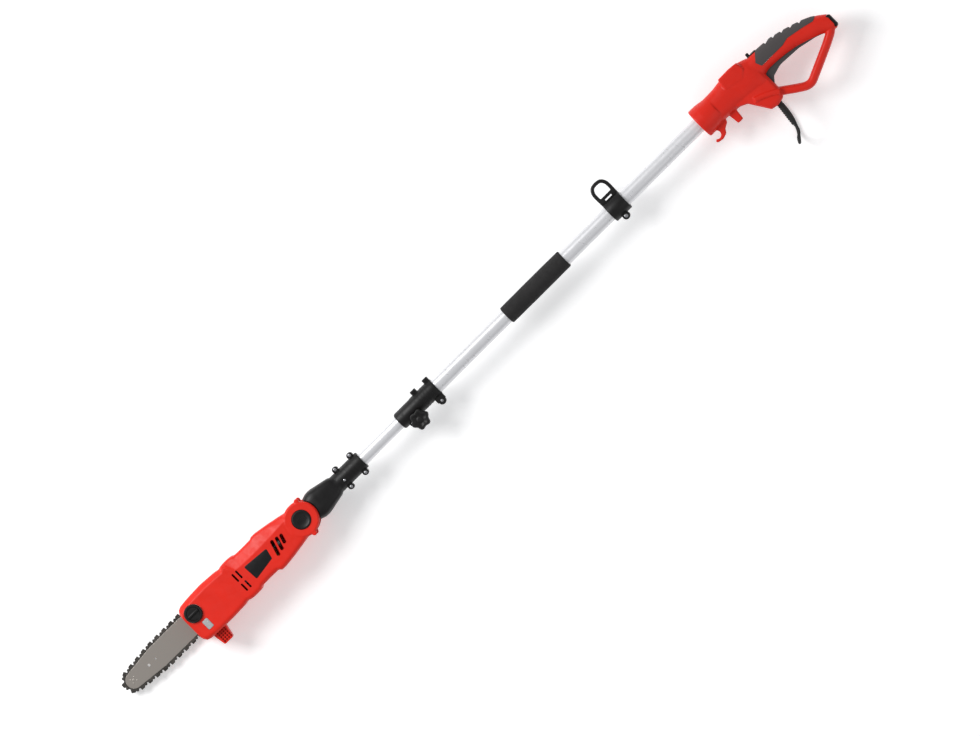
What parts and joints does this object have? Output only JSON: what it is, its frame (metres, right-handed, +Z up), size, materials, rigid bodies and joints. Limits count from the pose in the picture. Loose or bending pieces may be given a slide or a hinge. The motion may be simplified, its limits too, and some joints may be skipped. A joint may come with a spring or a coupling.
{
  "type": "telescoping pole saw",
  "caption": "Corded pole saw on a telescoping pole, with a tilting cutting head, bar and chain, foam grip, strap clip, star knob clamp and a D-shaped trigger handle.",
  "frame": {"origin": "on the floor under the middle of the tool's box, cord and plug left out, with the tool lying on its sprocket cover", "axes": "+X along the pole from the chain's tip to the rear of the handle, +Y towards the top of the handle, +Z up from the sprocket cover to the oil cap side"},
  "size_m": [1.9306, 0.2316, 0.096],
  "materials": {
    "red_housing": "satin moulded nylon",
    "black_plastic": "fine textured nylon",
    "trigger_plastic": "fine textured nylon",
    "soft_rubber": "ribbed thermoplastic rubber",
    "foam": "closed cell foam",
    "label": "blank matt plate",
    "tank_plastic": "translucent polyethylene",
    "window": "clear moulding",
    "silver_tube": "satin anodised",
    "bar_steel": "ground and hardened",
    "chain_steel": "oiled, dark",
    "zinc_steel": "zinc plated",
    "spring_steel": "drawn wire",
    "gear_steel": "machined",
    "laminations": "varnished laminations",
    "copper": "turned copper",
    "brass_parts": "brass",
    "grey_plastic": "moulded nylon",
    "cable_rubber": "rubber sheath",
    "pin_metal": "nickel plated"
  },
  "bodies": {
    "handle": {"outer_tube": "silver_tube", "coiled_lead": "cable_rubber", "clamp_shell_near": "black_plastic", "clamp_shell_far": "black_plastic", "clamp_collet": "grey_plastic", "clamp_screws": "zinc_steel", "clamp_bolt": "zinc_steel", "foam_grip": "foam", "strap_clip": "black_plastic", "strap_clip_screw": "zinc_steel", "handle_shell_near": "red_housing", "handle_shell_far": "red_housing", "handle_screws": "zinc_steel", "grip_pad": "soft_rubber", "handle_end_cap": "black_plastic", "switch_module": "grey_plastic", "trigger_pin": "zinc_steel", "strain_relief": "cable_rubber", "mains_cord": "cable_rubber", "mains_plug": "cable_rubber", "plug_pins": "pin_metal"},
    "lower_pole": {"inner_tube": "silver_tube", "tube_guide": "grey_plastic", "lower_lead": "cable_rubber", "neck_shell_near": "black_plastic", "neck_shell_far": "black_plastic", "neck_screws": "zinc_steel", "tilt_axle": "zinc_steel", "tilt_spring": "spring_steel"},
    "cutting_head": {"head_shell_near": "red_housing", "head_shell_far": "red_housing", "head_screws": "zinc_steel", "label_plate": "label", "oil_tank": "tank_plastic", "oil_window": "window", "oil_pump": "grey_plastic", "sprocket_cover": "red_housing", "bar_studs": "zinc_steel", "cover_nuts": "zinc_steel", "tension_screw": "zinc_steel", "guide_bar": "bar_steel", "chain_drive_links": "chain_steel", "chain_side_links": "chain_steel", "shaft_bearings": "gear_steel", "motor_stator": "laminations", "brush_holders": "brass_parts", "motor_bearings": "gear_steel"},
    "tilt_lock": {"tilt_button": "black_plastic"},
    "cap": {"oil_cap": "black_plastic"},
    "drive": {"drive_sprocket": "gear_steel", "drive_gear": "gear_steel"},
    "motor": {"motor_armature": "laminations", "motor_pinion": "gear_steel", "motor_fan": "grey_plastic", "motor_commutator": "copper"},
    "bar_nose": {"nose_sprocket": "chain_steel"},
    "star_knob": {"clamp_knob": "black_plastic", "knob_nut": "brass_parts"},
    "trigger_lever": {"trigger": "trigger_plastic"},
    "lock_off": {"lock_off_button": "black_plastic"}
  },
  "joints": [
    {"name": "pole_extend", "type": "slide", "parent": "handle", "child": "lower_pole", "axis": [-1, 0, 0], "range_m": [-0.1, 0.57]},
    {"name": "head_tilt", "type": "hinge", "parent": "lower_pole", "child": "cutting_head", "pos_m": [-0.47766, 0.02125, 0.054], "axis": [0, 0, 1], "range_deg": [0, 30]},
    {"name": "tilt_button_press", "type": "slide", "parent": "lower_pole", "child": "tilt_lock", "axis": [0, 0, -1], "range_m": [0, 0.004], "stiffness_N_per_m": 1500, "springref_m": -0.003, "deforming": ["tilt_spring"]},
    {"name": "oil_cap_turn", "type": "hinge", "parent": "cutting_head", "child": "cap", "pos_m": [-0.76016, 0.03975, 0.088], "axis": [0, 0, 1], "range_deg": [0, 90]},
    {"name": "sprocket_spin", "type": "hinge", "parent": "cutting_head", "child": "drive", "pos_m": [-0.70266, 0.02125, 0.0175], "axis": [0, 0, 1], "continuous": true},
    {"name": "motor_spin", "type": "hinge", "parent": "cutting_head", "child": "motor", "pos_m": [-0.60566, 0.02125, 0.054], "axis": [1, 0, 0], "continuous": true},
    {"name": "nose_sprocket_spin", "type": "hinge", "parent": "cutting_head", "child": "bar_nose", "pos_m": [-0.94276, 0.02925, 0.0175], "axis": [0, 0, 1], "continuous": true},
    {"name": "clamp_knob_turn", "type": "hinge", "parent": "handle", "child": "star_knob", "pos_m": [-0.17166, -0.00375, 0.07], "axis": [0, 0, 1], "range_deg": [0, 540]},
    {"name": "trigger_pull", "type": "hinge", "parent": "handle", "child": "trigger_lever", "pos_m": [0.94434, -0.01175, 0.054], "axis": [0, 0, -1], "range_deg": [0, 3], "stiffness_Nm_per_rad": 6, "springref_deg": -5.73},
    {"name": "lock_off_slide", "type": "slide", "parent": "handle", "child": "lock_off", "axis": [1, 0, 0], "range_m": [0, 0.005], "stiffness_N_per_m": 400, "springref_m": -0.003}
  ],
  "couplings": [
    {"joint": "motor_spin", "follows": "sprocket_spin", "ratio": 3.3333},
    {"joint": "nose_sprocket_spin", "follows": "sprocket_spin", "ratio": 0.6}
  ]
}
